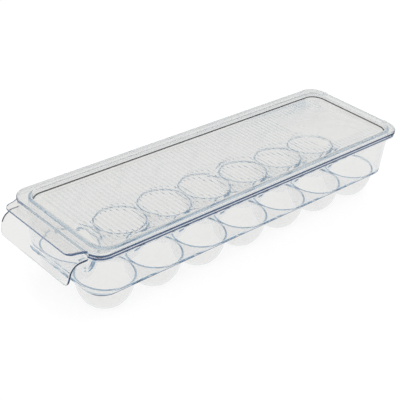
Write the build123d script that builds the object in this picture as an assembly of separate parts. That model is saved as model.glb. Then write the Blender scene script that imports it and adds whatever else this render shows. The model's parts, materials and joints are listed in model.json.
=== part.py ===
from build123d import *
import os

# Egg keeper with a flip lid: a clear tray that holds two rows of eggs in cups under its floor,
# a pull handle at one end and a lid hinged at the other end.
# Millimetres, +Z up. X is the long way: the handle is at -X and the hinge at +X.
# The origin is under the middle of the whole object, on the surface that the cups stand on.

# ---------------------------------------------------------------- egg cups
COLUMNS = 7                  # cups along X
ROWS = 2                     # cups along Y
CUP_MOUTH_RADIUS = 22.2      # inside a cup, just under the rounded mouth
CUP_FOOT_RADIUS = 8.0        # flat foot that a cup stands on
CUP_DROP = 26.0              # underside of the floor to the bottom of a cup
CUP_WALL = 1.8
CUP_COLUMN_GAP = 0.5         # outside of one cup to the outside of the next, along X
CUP_ROW_WEB = 0.6            # plastic left between the two rows at the mouths, along Y

# ---------------------------------------------------------------- tray
FLOOR_THICKNESS = 2.0
FLOOR_EDGE_RADIUS = 1.4      # rounded bottom edge of the tray walls
TRAY_DEPTH = 44.0            # top of the rim to the underside of the floor
WALL = 1.9
WALL_CORNER_RADIUS = 16.0
SIDE_CUP_SPACE = 0.3         # outside of a cup to the inside of a long wall, at the floor
HINGE_END_CUP_SPACE = 0.3    # the same at the hinge end
HANDLE_END_CUP_SPACE = 1.3   # the same at the handle end
SIDE_LEAN = 2.1              # how far a long wall leans outwards from floor to rim
END_LEAN = 0.3               # how far an end wall leans outwards
RIM_THICKNESS = 2.6
SIDE_RIM_REACH = 4.2         # rim beyond the top of a long wall
HINGE_END_RIM_REACH = 2.3
HANDLE_END_RIM_REACH = 6.8
RIM_CORNER_RADIUS = 13.0
RIM_EDGE_RADIUS = 0.5
LIP_DROP = 3.0               # lip that hangs from the edge of the rim, below the underside of the rim
LIP_WALL = 1.5

# ---------------------------------------------------------------- pull handle
HANDLE_REACH = 16.8          # end of the rim to the outermost point of the handle
HANDLE_DROP = 24.5           # top of the rim to the lower edge of the handle
HANDLE_WALL = 2.0
HANDLE_BEND_RADIUS = 10.0    # outside of the bend from flat to upright
HANDLE_FLARE = 1.6           # how far the upright part leans outwards
HANDLE_TOP_HALF_WIDTH = 44.0
HANDLE_BOTTOM_HALF_WIDTH = 43.0
HANDLE_CORNER_RADIUS = 4.5

# ---------------------------------------------------------------- lid
LID_GAP = 0.1                # lid edge above the rim of the tray
LID_EDGE_THICKNESS = 2.0
LID_EDGE_RADIUS = 0.5        # outer top edge; at the hinge it stops the lid on the rim past 100 degrees
LID_RECESS = 2.8             # top of the sunk panel below the top of the tray rim
PANEL_THICKNESS = 2.0
PLUG_WALL = 1.6              # sloping wall between the raised band and the panel
PLUG_SPACE = 0.4             # between that wall and the mouth of the tray
PLUG_SLOPE = 1.0             # how far its inner face slopes outwards from panel to band
RIB_PITCH = 4.53
RIB_WIDTH = 1.6
RIB_HEIGHT = 0.4
RIB_MARGIN = 6.0             # end of a rib to the edge of the panel
PLAIN_FIELD_LENGTH = 70.0    # rib-free field of the panel, at the hinge end
PLAIN_FIELD_WIDTH = 62.0

# ---------------------------------------------------------------- finger tab of the lid
TAB_REACH = 14.5
TAB_THICKNESS = 1.6
TAB_TIP_HALF_WIDTH = 40.5
TAB_TIP_RADIUS = 6.5
TAB_SHOULDER_REACH = 2.5     # shoulder beyond the end of the rim
TAB_SHOULDER_HALF_WIDTH = 43.0
TAB_SHOULDER_RADIUS = 5.0
TAB_ROOT_DEPTH = 6.0         # where the shoulder line runs into the rounded corner of the lid
TAB_ROOT_HALF_WIDTH = 50.0

# ---------------------------------------------------------------- hinge
PIN_RADIUS = 0.8
PIN_PLAY = 0.05              # radial clearance of the pins in the ears
EAR_RADIUS = 1.7
EAR_THICKNESS = 3.0
EAR_OFFSET = 37.0            # middle of an ear from the middle of the tray
EAR_SPACE = 0.25             # ear to the sides of its notch in the lid
HINGE_SPACE = 0.1            # turning edge of the lid above the rim
HINGE_SNAP_WIDTH = 1.3       # slot that the pins snap through, narrower than a pin

# ---------------------------------------------------------------- limits of a rounding
NEARLY_HALF = 0.45           # of a thickness or length that is rounded from both sides
NEARLY_ALL = 0.9             # of a thickness or width that is rounded from one side

# ---------------------------------------------------------------- sizes that follow
CUP_RADIUS = CUP_MOUTH_RADIUS + CUP_WALL
CUP_PITCH_X = 2 * CUP_RADIUS + CUP_COLUMN_GAP
CUP_PITCH_Y = 2 * CUP_MOUTH_RADIUS + CUP_ROW_WEB
CUP_BLOCK_LENGTH = (COLUMNS - 1) * CUP_PITCH_X + 2 * CUP_RADIUS
CUP_BLOCK_HALF_WIDTH = (ROWS - 1) * CUP_PITCH_Y / 2 + CUP_RADIUS

HANDLE_END_BAND = HANDLE_END_CUP_SPACE + WALL + END_LEAN + HANDLE_END_RIM_REACH
HINGE_END_BAND = HINGE_END_CUP_SPACE + WALL + END_LEAN + HINGE_END_RIM_REACH
RIM_LENGTH = CUP_BLOCK_LENGTH + HANDLE_END_BAND + HINGE_END_BAND
TOTAL_LENGTH = RIM_LENGTH + HANDLE_REACH

HINGE_END_X = TOTAL_LENGTH / 2
HANDLE_END_X = HINGE_END_X - RIM_LENGTH
HANDLE_TIP_X = -TOTAL_LENGTH / 2
FIRST_CUP_X = HANDLE_END_X + HANDLE_END_BAND + CUP_RADIUS

FLOOR_HALF_WIDTH = CUP_BLOCK_HALF_WIDTH + SIDE_CUP_SPACE + WALL
WALL_TOP_HALF_WIDTH = FLOOR_HALF_WIDTH + SIDE_LEAN
RIM_HALF_WIDTH = WALL_TOP_HALF_WIDTH + SIDE_RIM_REACH

FLOOR_UNDER_Z = CUP_DROP
FLOOR_Z = FLOOR_UNDER_Z + FLOOR_THICKNESS
RIM_Z = FLOOR_UNDER_Z + TRAY_DEPTH
RIM_UNDER_Z = RIM_Z - RIM_THICKNESS
LIP_FOOT_Z = RIM_UNDER_Z - LIP_DROP
HANDLE_FOOT_Z = RIM_Z - HANDLE_DROP
HANDLE_BEND_Z = LIP_FOOT_Z - HANDLE_BEND_RADIUS

WALL_TOP_X = (HANDLE_END_X + HANDLE_END_RIM_REACH, HINGE_END_X - HINGE_END_RIM_REACH)
WALL_FOOT_X = (WALL_TOP_X[0] + END_LEAN, WALL_TOP_X[1] - END_LEAN)

LID_UNDER_Z = RIM_Z + LID_GAP
LID_TOP_Z = LID_UNDER_Z + LID_EDGE_THICKNESS
PANEL_Z = RIM_Z - LID_RECESS
PANEL_UNDER_Z = PANEL_Z - PANEL_THICKNESS
PLUG_INSET = WALL + PLUG_SPACE
PANEL_INSET = PLUG_INSET + PLUG_WALL

HINGE_Z = LID_UNDER_Z + LID_EDGE_THICKNESS / 2
HINGE_EDGE_RADIUS = HINGE_Z - RIM_Z - HINGE_SPACE
HINGE_X = HINGE_END_X - HINGE_EDGE_RADIUS


def outline(x_range, half_width, corner_radius):
    """Rounded rectangle in the XY plane between two X values."""
    x_min, x_max = x_range
    radius = min(corner_radius, NEARLY_HALF * (x_max - x_min), NEARLY_ALL * half_width)
    middle = Pos((x_min + x_max) / 2, 0)
    return middle * RectangleRounded(x_max - x_min, 2 * half_width, radius)


def inset_outline(inset):
    """Outline of the tray walls at the rim, moved inwards."""
    x_range = (WALL_TOP_X[0] + inset, WALL_TOP_X[1] - inset)
    return outline(x_range, WALL_TOP_HALF_WIDTH - inset, WALL_CORNER_RADIUS - inset)


def slab(sketch, z_min, z_max):
    """Flat plate of the outline between two heights."""
    return extrude(Pos(0, 0, z_min) * sketch, z_max - z_min)


def block(x_range, y_range, z_range):
    """Plain box between limits along X, Y and Z."""
    sizes = [high - low for low, high in (x_range, y_range, z_range)]
    middle = [(high + low) / 2 for low, high in (x_range, y_range, z_range)]
    return Pos(*middle) * Box(*sizes)


def cup_places():
    """Column, row and centre of every cup."""
    for column in range(COLUMNS):
        for row in range(ROWS):
            x = FIRST_CUP_X + column * CUP_PITCH_X
            y = (row - (ROWS - 1) / 2) * CUP_PITCH_Y
            yield column, row, x, y


def cup_mouth():
    """Space cut through the floor by one cup: its bore and the rounded lip around it."""
    lip = min(CUP_WALL, FLOOR_THICKNESS)
    lip_low = (CUP_MOUTH_RADIUS, FLOOR_Z - lip)
    lip_high = (CUP_MOUTH_RADIUS + lip, FLOOR_Z)
    edges = Polyline(lip_high, (CUP_MOUTH_RADIUS + lip, FLOOR_Z + lip), (0, FLOOR_Z + lip))
    edges += Polyline((0, FLOOR_Z + lip), (0, FLOOR_UNDER_Z - lip))
    edges += Polyline((0, FLOOR_UNDER_Z - lip), (CUP_MOUTH_RADIUS, FLOOR_UNDER_Z - lip), lip_low)
    edges += CenterArc((CUP_MOUTH_RADIUS + lip, FLOOR_Z - lip), lip, 90, 90)
    return revolve(Plane.XZ * make_face(edges), Axis.Z)


def tray_floor():
    """Floor of the tray, pierced by the mouths of the cups, with a rounded lower edge."""
    sheet = outline(WALL_FOOT_X, FLOOR_HALF_WIDTH, WALL_CORNER_RADIUS)
    plate = slab(sheet, FLOOR_UNDER_Z, FLOOR_Z)
    plate = fillet(plate.edges().group_by(Axis.Z)[0], min(FLOOR_EDGE_RADIUS, NEARLY_ALL * FLOOR_THICKNESS))
    mouth = cup_mouth()
    return plate - [Pos(x, y) * mouth for _, _, x, y in cup_places()]


def cup_profile(foot_radius, side_radius, drop):
    """Half section of a rounded bowl below the floor: a quarter ellipse onto a flat foot."""
    z_foot = FLOOR_UNDER_Z - drop
    curve = EllipticalCenterArc((foot_radius, FLOOR_UNDER_Z), side_radius - foot_radius, drop,
                                start_angle=270, arc_size=90)
    edges = Polyline((foot_radius, z_foot), (0, z_foot), (0, FLOOR_UNDER_Z), (side_radius, FLOOR_UNDER_Z))
    return Plane.XZ * make_face(edges + curve)


def egg_cup(x, y):
    """One egg cup under the floor, cut flat where it meets the cup of the other row."""
    outside = revolve(cup_profile(CUP_FOOT_RADIUS, CUP_RADIUS, CUP_DROP), Axis.Z)
    inside = revolve(cup_profile(CUP_FOOT_RADIUS, CUP_MOUTH_RADIUS, CUP_DROP - CUP_WALL), Axis.Z)
    half_pitch = CUP_PITCH_Y / 2
    reach = 2 * CUP_RADIUS
    y_range = (-half_pitch, reach) if y > 0 else (-reach, half_pitch)
    keep = block((-reach, reach), y_range, (-1, FLOOR_UNDER_Z))
    return Pos(x, y) * ((outside - inside) & keep)


def wall_outside(inset=0.0):
    """Solid space inside the tray walls, from floor to rim, moved inwards by the inset."""
    foot = outline((WALL_FOOT_X[0] + inset, WALL_FOOT_X[1] - inset), FLOOR_HALF_WIDTH - inset,
                   WALL_CORNER_RADIUS - inset)
    return loft([Pos(0, 0, FLOOR_Z) * foot, Pos(0, 0, RIM_UNDER_Z) * inset_outline(inset)], ruled=True)


def tray_walls():
    """The ring of walls as two long side walls and two end walls with their corners."""
    ring = wall_outside() - wall_outside(WALL)
    z_range = (FLOOR_UNDER_Z, RIM_Z)
    far = 2 * RIM_HALF_WIDTH
    cut_low = WALL_FOOT_X[0] + WALL_CORNER_RADIUS
    cut_high = WALL_FOOT_X[1] - WALL_CORNER_RADIUS
    return {
        "front_side_wall": ring & block((cut_low, cut_high), (-far, 0), z_range),
        "back_side_wall": ring & block((cut_low, cut_high), (0, far), z_range),
        "handle_end_wall": ring & block((HANDLE_TIP_X, cut_low), (-far, far), z_range),
        "hinge_end_wall": ring & block((cut_high, HINGE_END_X), (-far, far), z_range),
    }


def rim_outline(inset=0.0):
    """Outline of the rim and of the lid, moved inwards by the inset."""
    return outline((HANDLE_END_X + inset, HINGE_END_X - inset), RIM_HALF_WIDTH - inset,
                   RIM_CORNER_RADIUS - inset)


def tray_rim():
    """Flange around the mouth of the tray with a short lip that hangs from its edge."""
    rim = slab(rim_outline(), LIP_FOOT_Z, RIM_Z)
    levels = rim.edges().group_by(Axis.Z)
    rim = fillet(levels[0] + levels[-1], min(RIM_EDGE_RADIUS, NEARLY_HALF * LIP_WALL))
    channel = slab(rim_outline(LIP_WALL), LIP_FOOT_Z, RIM_UNDER_Z)
    return rim - channel - slab(inset_outline(WALL), RIM_UNDER_Z, RIM_Z)


def handle_blank():
    """Side section of the handle, bent from flat to upright, as wide as its top."""
    root_x = HANDLE_END_X + LIP_WALL
    bend_x = HANDLE_TIP_X + HANDLE_FLARE
    inner_radius = HANDLE_BEND_RADIUS - HANDLE_WALL
    centre = (bend_x + HANDLE_BEND_RADIUS, HANDLE_BEND_Z)
    inner_top = (centre[0], LIP_FOOT_Z - HANDLE_WALL)
    edges = Polyline(inner_top, (root_x, LIP_FOOT_Z - HANDLE_WALL), (root_x, LIP_FOOT_Z),
                     (centre[0], LIP_FOOT_Z))
    edges += CenterArc(centre, HANDLE_BEND_RADIUS, 90, 90)
    edges += Polyline((bend_x, HANDLE_BEND_Z), (HANDLE_TIP_X, HANDLE_FOOT_Z),
                      (HANDLE_TIP_X + HANDLE_WALL, HANDLE_FOOT_Z), (bend_x + HANDLE_WALL, HANDLE_BEND_Z))
    edges += CenterArc(centre, inner_radius, 90, 90)
    section = Plane.XZ * make_face(edges)
    return extrude(section, HANDLE_TOP_HALF_WIDTH, both=True)


def pull_handle():
    """Handle sheet under the finger tab, which hangs from the lip of the rim."""
    corners = [(HANDLE_TOP_HALF_WIDTH, RIM_Z), (HANDLE_TOP_HALF_WIDTH, HANDLE_BEND_Z),
               (HANDLE_BOTTOM_HALF_WIDTH, HANDLE_FOOT_Z)]
    mirrored = [(-y, z) for y, z in reversed(corners)]
    face = Plane.YZ * make_face(Polyline(*corners, *mirrored, close=True))
    face = fillet(face.vertices().group_by(Axis.Z)[0], HANDLE_CORNER_RADIUS)
    return handle_blank() & extrude(face, TOTAL_LENGTH, both=True)


def lid_outline_solid():
    """Edge plate of the lid, as wide as the rim, with a rounded top edge."""
    plate = slab(rim_outline(), LID_UNDER_Z, LID_TOP_Z)
    edge = plate.edges().group_by(Axis.Z)[-1]
    return fillet(edge, min(LID_EDGE_RADIUS, NEARLY_HALF * LID_EDGE_THICKNESS))


def hinge_turning_space():
    """What the lower hinge-end edge of the lid gives up so that it can turn over the rim."""
    far = 2 * RIM_HALF_WIDTH
    corner = block((HINGE_X, HINGE_END_X + HINGE_EDGE_RADIUS), (-far, far), (PANEL_UNDER_Z, HINGE_Z))
    barrel = Pos(HINGE_X, 0, HINGE_Z) * Rot(90, 0, 0) * Cylinder(HINGE_EDGE_RADIUS, 2 * far)
    return corner - barrel


def hinge_notches():
    """Notches in the lid edge that leave room for the ears."""
    half = EAR_THICKNESS / 2 + EAR_SPACE
    x_range = (HINGE_X - EAR_RADIUS - EAR_SPACE, HINGE_END_X + EAR_RADIUS)
    return [block(x_range, (y - half, y + half), (PANEL_UNDER_Z, LID_TOP_Z + EAR_RADIUS))
            for y in (-EAR_OFFSET, EAR_OFFSET)]


def lid_rim():
    """Raised band of the lid and the wall that plugs into the mouth of the tray."""
    band = lid_outline_solid() + slab(inset_outline(PLUG_INSET), PANEL_UNDER_Z, LID_UNDER_Z)
    well = loft([Pos(0, 0, PANEL_Z) * inset_outline(PANEL_INSET),
                 Pos(0, 0, LID_TOP_Z) * inset_outline(PANEL_INSET - PLUG_SLOPE)], ruled=True)
    band = band - well - slab(inset_outline(PANEL_INSET), PANEL_UNDER_Z, PANEL_Z)
    return band - hinge_turning_space() - hinge_notches()


def lid_panel():
    """Sunk panel of the lid with ribs across it and a plain field at the hinge end."""
    panel = slab(inset_outline(PANEL_INSET), PANEL_UNDER_Z, PANEL_Z)
    x_min = WALL_TOP_X[0] + PANEL_INSET + RIB_MARGIN
    x_max = WALL_TOP_X[1] - PANEL_INSET - RIB_MARGIN
    half_length = WALL_TOP_HALF_WIDTH - PANEL_INSET - RIB_MARGIN
    count = int((x_max - x_min) / RIB_PITCH)
    first_x = (x_min + x_max - count * RIB_PITCH) / 2
    ribs = []
    for number in range(count + 1):
        x = first_x + number * RIB_PITCH
        spans = [(-half_length, half_length)]
        if x > x_max - PLAIN_FIELD_LENGTH:
            spans = [(-half_length, -PLAIN_FIELD_WIDTH / 2), (PLAIN_FIELD_WIDTH / 2, half_length)]
        x_range = (x - RIB_WIDTH / 2, x + RIB_WIDTH / 2)
        ribs += [block(x_range, span, (PANEL_Z, PANEL_Z + RIB_HEIGHT)) for span in spans]
    return panel + ribs


def finger_tab():
    """Flat tab of the lid above the handle, with S-curved shoulders."""
    half = [(HANDLE_END_X - TAB_REACH, TAB_TIP_HALF_WIDTH),
            (HANDLE_END_X - TAB_SHOULDER_REACH, TAB_SHOULDER_HALF_WIDTH),
            (HANDLE_END_X + TAB_ROOT_DEPTH, TAB_ROOT_HALF_WIDTH)]
    mirrored = [(x, -y) for x, y in reversed(half)]
    face = make_face(Polyline(*half, *mirrored, close=True))
    shoulders = face.vertices().group_by(Axis.X)[1]
    face = fillet(shoulders, TAB_SHOULDER_RADIUS)
    face = fillet(face.vertices().group_by(Axis.X)[0], TAB_TIP_RADIUS)
    middle_z = (LID_UNDER_Z + LID_TOP_Z) / 2
    tab = slab(face, middle_z - TAB_THICKNESS / 2, middle_z + TAB_THICKNESS / 2)
    return tab - lid_outline_solid() - slab(inset_outline(0), PANEL_UNDER_Z, LID_TOP_Z)


def hinge_ears():
    """Two upright ears on the rim with snap-in bores for the pins of the lid."""
    ears = []
    for y in (-EAR_OFFSET, EAR_OFFSET):
        place = Pos(HINGE_X, y, HINGE_Z) * Rot(90, 0, 0)
        boss = place * Cylinder(EAR_RADIUS, EAR_THICKNESS)
        half = EAR_THICKNESS / 2
        foot = block((HINGE_X - EAR_RADIUS, HINGE_X + HINGE_EDGE_RADIUS), (y - half, y + half),
                     (RIM_Z, HINGE_Z))
        below = block((HINGE_X - 2 * EAR_RADIUS, HINGE_X + 2 * EAR_RADIUS), (y - half, y + half),
                      (RIM_UNDER_Z, RIM_Z))
        bore = place * Cylinder(PIN_RADIUS + PIN_PLAY, 2 * EAR_THICKNESS)
        snap = block((HINGE_X, HINGE_X + 2 * EAR_RADIUS), (y - 2 * half, y + 2 * half),
                     (HINGE_Z - HINGE_SNAP_WIDTH / 2, HINGE_Z + HINGE_SNAP_WIDTH / 2))
        beyond = block((HINGE_END_X, HINGE_END_X + EAR_RADIUS), (y - half, y + half),
                       (RIM_UNDER_Z, LID_TOP_Z + EAR_RADIUS))
        ears.append(boss + foot - below - bore - snap - beyond)
    return Compound(children=ears)


def hinge_pins():
    """Two pins across the notches of the lid, which turn in the ears."""
    length = EAR_THICKNESS + 2 * EAR_SPACE
    return Compound(children=[Pos(HINGE_X, y, HINGE_Z) * Rot(90, 0, 0) * Cylinder(PIN_RADIUS, length)
                              for y in (-EAR_OFFSET, EAR_OFFSET)])


def all_nodes():
    """Every node by name."""
    nodes = {
        "tray_rim": tray_rim(),
        "tray_floor": tray_floor(),
        "pull_handle": pull_handle(),
        "hinge_ears": hinge_ears(),
        "lid_rim": lid_rim(),
        "lid_panel": lid_panel(),
        "lid_finger_tab": finger_tab(),
        "lid_hinge_pins": hinge_pins(),
    }
    nodes.update(tray_walls())
    for column, row, x, y in cup_places():
        nodes[f"egg_cup_{'front' if row == 0 else 'back'}_{column + 1}"] = egg_cup(x, y)
    return nodes


os.makedirs("parts", exist_ok=True)
for name, shape in all_nodes().items():
    export_step(shape, f"parts/{name}.step")
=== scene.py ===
"""Clear egg keeper with a flip lid, dressed for a plain pale studio.

The tray and the lid are each one clear moulding. Both are modelled here as closed thin shells over the
fixed frame, in metres, and ride on the frame's bodies. Where light runs along the edges of a clear
moulding it draws deep blue lines; these lines are painted shade in the plastic's colour, and two face
attributes tell the plastic where to paint them.
"""
import json
import logging
import math
from dataclasses import astuple, dataclass
from enum import Enum
from typing import Callable, Iterable

import bmesh
import bpy
from mathutils import Matrix, Vector


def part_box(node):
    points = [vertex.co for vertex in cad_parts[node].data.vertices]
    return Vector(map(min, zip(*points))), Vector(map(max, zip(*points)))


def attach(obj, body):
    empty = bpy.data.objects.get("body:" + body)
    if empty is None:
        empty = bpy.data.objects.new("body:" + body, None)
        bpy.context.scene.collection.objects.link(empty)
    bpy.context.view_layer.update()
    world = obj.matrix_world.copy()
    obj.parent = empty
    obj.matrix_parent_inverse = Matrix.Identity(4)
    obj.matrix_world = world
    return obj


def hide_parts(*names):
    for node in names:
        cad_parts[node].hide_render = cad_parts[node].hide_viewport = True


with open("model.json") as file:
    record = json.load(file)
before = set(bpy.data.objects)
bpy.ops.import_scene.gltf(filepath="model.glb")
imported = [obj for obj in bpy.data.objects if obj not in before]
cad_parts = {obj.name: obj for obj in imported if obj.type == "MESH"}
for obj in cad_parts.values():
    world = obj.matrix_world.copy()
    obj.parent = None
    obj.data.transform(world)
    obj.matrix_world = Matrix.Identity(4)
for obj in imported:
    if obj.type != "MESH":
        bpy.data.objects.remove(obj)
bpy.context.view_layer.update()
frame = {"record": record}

MM = 0.001
HAIR = 0.001 * MM                                    # tolerance of a cut
SLACK = 0.01 * MM                                    # tolerance when faces are told apart by their place
NEAR = 0.1 * MM                                      # the same for corners that stand well apart
SHARPEST = 0.5 * MM                                  # least corner radius of a ring
QUARTER = math.radians(90)
ANY = (-math.inf, math.inf)
LEVEL = 0.005                                        # share of a normal along an axis that counts as none
DIAGONAL = math.sqrt(0.5)                            # the same at 45 degrees to the axis
STEEP = 0.9                                          # the same on a turn's last facet but one
FLAT = 0.99                                          # the same on a face square to the axis
EDGE_SHADE_PAINT, CORE_SHADE_PAINT = "painted_edge_shade", "painted_core_shade"      # painted edge shade seen from the air, and from inside the plastic
Colour = tuple[float, float, float]
Test = Callable[[Vector, Vector], bool]
log = logging.getLogger("egg_keeper")


class Side(Enum):
    """The two sides of a moulded wall, by what touches them."""

    EGGS = "eggs"
    SHELF = "shelf"


# ------------------------------------------------------------------ finishes


class NodeBoard:
    """One node tree, with short ways to add and join its nodes."""

    def __init__(self, tree: bpy.types.NodeTree) -> None:
        """Opens the tree."""
        self.tree = tree

    def add(self, kind: str, values: dict[str | int, object] | None = None,
            **settings: object) -> bpy.types.Node:
        """Adds a node.

        Args:
            kind: type of the node.
            values: values of its inputs, by name or number.
            settings: its other properties.

        Returns:
            The node.
        """
        node = self.tree.nodes.new(kind)
        for key, value in settings.items():
            setattr(node, key, value)
        for key, value in (values or {}).items():
            node.inputs[key].default_value = value
        return node

    def join(self, *pairs: tuple[bpy.types.NodeSocket, bpy.types.NodeSocket]) -> None:
        """Links outputs to inputs.

        Args:
            pairs: each an output and the input that it feeds.
        """
        for output, entry in pairs:
            self.tree.links.new(output, entry)


@dataclass(frozen=True)
class MouldedSkin:
    """Node group of a moulded surface: slow flow ripple and fine rub marks.

    Attributes:
        title: name of the group.
        ripple_detail: detail of the flow ripple.
        rub_scale: how closely the rub marks stand.
        rub_detail: their detail.
        rub_range: noise values at which a mark begins and is at its strongest.
        rub_depth: roughness that the strongest mark adds.
    """

    title: str = "Moulded Skin"
    ripple_detail: float = 1.0
    rub_scale: float = 220.0
    rub_detail: float = 4.0
    rub_range: tuple[float, float] = (0.55, 0.85)
    rub_depth: float = 0.03

    def group(self) -> bpy.types.NodeTree:
        """Gives the node group, which is built once.

        Returns:
            The node group.
        """
        known = bpy.data.node_groups.get(self.title)
        if known:
            return known
        group = bpy.data.node_groups.new(self.title, "ShaderNodeTree")
        group.interface.new_socket("Place", in_out="INPUT", socket_type="NodeSocketVector")
        for name, way in (("Ripple Size", "INPUT"), ("Roughness", "INPUT"),
                          ("Height", "OUTPUT"), ("Roughness", "OUTPUT")):
            group.interface.new_socket(name, in_out=way, socket_type="NodeSocketFloat")
        board = NodeBoard(group)
        given, result = board.add("NodeGroupInput"), board.add("NodeGroupOutput")
        scale = board.add("ShaderNodeMath", {0: 1.0}, operation="DIVIDE")
        ripple = board.add("ShaderNodeTexNoise", {"Detail": self.ripple_detail})
        rub = board.add("ShaderNodeTexNoise", {"Scale": self.rub_scale, "Detail": self.rub_detail})
        marks = board.add("ShaderNodeMapRange", {"From Min": self.rub_range[0],
                                                 "From Max": self.rub_range[1],
                                                 "To Max": self.rub_depth})
        total = board.add("ShaderNodeMath", operation="ADD")
        board.join((given.outputs["Ripple Size"], scale.inputs[1]),
                   (given.outputs["Place"], ripple.inputs["Vector"]),
                   (scale.outputs[0], ripple.inputs["Scale"]),
                   (ripple.outputs["Fac"], result.inputs["Height"]),
                   (given.outputs["Place"], rub.inputs["Vector"]),
                   (rub.outputs["Fac"], marks.inputs["Value"]),
                   (given.outputs["Roughness"], total.inputs[0]),
                   (marks.outputs["Result"], total.inputs[1]),
                   (total.outputs[0], result.inputs["Roughness"]))
        return group


@dataclass(frozen=True)
class ClearPlastic:
    """Glossy clear moulding with painted blue shade in its colour where light runs along its edges.

    Attributes:
        name: material name.
        tint: colour of light that passes straight through.
        painted_faint_shade: colour of a faint painted edge shade.
        painted_half_shade: colour of a half deep painted edge shade.
        painted_deep_shade: colour of a deep painted edge shade, and of the painted shade along a steep
            outline.
        painted_line_shade: colour at the full painted edge shade.
        depths: depths of the painted shade at which the faint, half and deep shades stand.
        outline: how closely the painted deep shade keeps to the outline.
        body_colour: colour that long paths inside the plastic take.
        body_density: strength of that colour, per metre.
        refraction: index of refraction.
        roughness: clean surface roughness.
        ripple: size of the flow ripple in metres.
        ripple_height: strength of the flow ripple.
    """

    name: str
    tint: Colour = (0.97, 0.97, 0.97)
    painted_faint_shade: Colour = (0.74, 0.76, 0.78)
    painted_half_shade: Colour = (0.30, 0.50, 0.70)
    painted_deep_shade: Colour = (0.01, 0.035, 0.14)
    painted_line_shade: Colour = (0.006, 0.007, 0.009)
    depths: tuple[float, float, float] = (0.12, 0.5, 0.9)
    outline: float = 8.0
    body_colour: Colour = (0.05, 0.40, 0.64)
    body_density: float = 10.0
    refraction: float = 1.5
    roughness: float = 0.015
    ripple: float = 0.03
    ripple_height: float = 0.02

    def build(self) -> bpy.types.Material:
        """Makes the material.

        Returns:
            The clear plastic material.
        """
        material = bpy.data.materials.new(self.name)
        material.use_nodes = True
        board = NodeBoard(material.node_tree)
        shader = material.node_tree.nodes["Principled BSDF"]
        shader.inputs["Transmission Weight"].default_value = 1.0
        shader.inputs["IOR"].default_value = self.refraction
        shader.inputs["Metallic"].default_value = 0.0

        place = board.add("ShaderNodeTexCoord")
        skin = board.add("ShaderNodeGroup", {"Ripple Size": self.ripple, "Roughness": self.roughness},
                         node_tree=MouldedSkin().group())
        bump = board.add("ShaderNodeBump", {"Strength": self.ripple_height, "Distance": MM})
        body = board.add("ShaderNodeVolumeAbsorption", {"Color": (*self.body_colour, 1.0),
                                                        "Density": self.body_density})
        board.join((place.outputs["Object"], skin.inputs["Place"]),
                   (skin.outputs["Roughness"], shader.inputs["Roughness"]),
                   (skin.outputs["Height"], bump.inputs["Height"]),
                   (bump.outputs["Normal"], shader.inputs["Normal"]),
                   (self.painted_edge_colour(board), shader.inputs["Base Color"]),
                   (body.outputs["Volume"], material.node_tree.nodes["Material Output"].inputs["Volume"]))
        return material

    def painted_edge_colour(self, board: NodeBoard) -> bpy.types.NodeSocket:
        """Colour with painted edge shade by the depth of the face's mark, and painted shade darker where
        the surface turns edge-on to the view.

        Args:
            board: the material's nodes.

        Returns:
            The output that gives the colour.
        """
        # Painted edge shade stored on the faces, seen from the air and from inside the plastic.
        edge = board.add("ShaderNodeAttribute", attribute_name=EDGE_SHADE_PAINT)
        core = board.add("ShaderNodeAttribute", attribute_name=CORE_SHADE_PAINT)
        side, mark = board.add("ShaderNodeNewGeometry"), board.add("ShaderNodeMix")
        # Painted shade along the outline, darker where the surface turns edge-on to the view.
        facing = board.add("ShaderNodeLayerWeight", {"Blend": 0.5})
        steep = board.add("ShaderNodeMath", {1: self.outline}, operation="POWER")
        depth = board.add("ShaderNodeMath", operation="MAXIMUM")
        ramp = board.add("ShaderNodeValToRGB")
        low, high = ramp.color_ramp.elements
        low.color, high.color = (*self.tint, 1.0), (*self.painted_line_shade, 1.0)
        for position, colour in zip(self.depths, (self.painted_faint_shade, self.painted_half_shade, self.painted_deep_shade)):
            ramp.color_ramp.elements.new(position).color = (*colour, 1.0)
        board.join((side.outputs["Backfacing"], mark.inputs["Factor"]),
                   (edge.outputs["Fac"], mark.inputs["A"]),
                   (core.outputs["Fac"], mark.inputs["B"]),
                   (facing.outputs["Facing"], steep.inputs[0]),
                   (steep.outputs[0], depth.inputs[0]),
                   (mark.outputs["Result"], depth.inputs[1]),
                   (depth.outputs[0], ramp.inputs["Fac"]))
        return ramp.outputs["Color"]


# Both plastics carry painted blue and near black edge shade in their colour.
TRAY_PLASTIC = ClearPlastic("clear_tray_plastic", tint=(0.975, 0.97, 0.965), outline=16.0)
LID_PLASTIC = ClearPlastic("clear_lid_plastic", tint=(0.90, 0.895, 0.88), body_density=1.0)


# ------------------------------------------------------------------ outlines and marks


@dataclass(frozen=True)
class Ring:
    """A rounded rectangle round the keeper at one height.

    Attributes:
        x_min: end towards the handle.
        x_max: end towards the hinge.
        half_width: half of the width across.
        radius: corner radius.
        z: height.
    """

    x_min: float
    x_max: float
    half_width: float
    radius: float
    z: float

    def inset(self, distance: float, z: float | None = None) -> "Ring":
        """Ring moved inwards.

        Args:
            distance: how far inwards.
            z: new height, or None to keep it.

        Returns:
            The new ring.
        """
        height = self.z if z is None else z
        return Ring(self.x_min + distance, self.x_max - distance, self.half_width - distance,
                    max(self.radius - distance, SHARPEST), height)

    def towards(self, other: "Ring", share: float) -> "Ring":
        """Ring between this one and another.

        Args:
            other: ring at share 1.
            share: how far along.

        Returns:
            The ring in between.
        """
        values = [a + (b - a) * share for a, b in zip(astuple(self), astuple(other))]
        return Ring(*values)

    def excludes(self, place: Vector) -> bool:
        """Whether a place lies outside the ring, seen from above.

        Args:
            place: the place.

        Returns:
            True outside.
        """
        along = max(self.x_min + self.radius - place.x, place.x - self.x_max + self.radius, 0.0)
        across = max(abs(place.y) - self.half_width + self.radius, 0.0)
        return math.hypot(along, across) > self.radius


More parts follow.
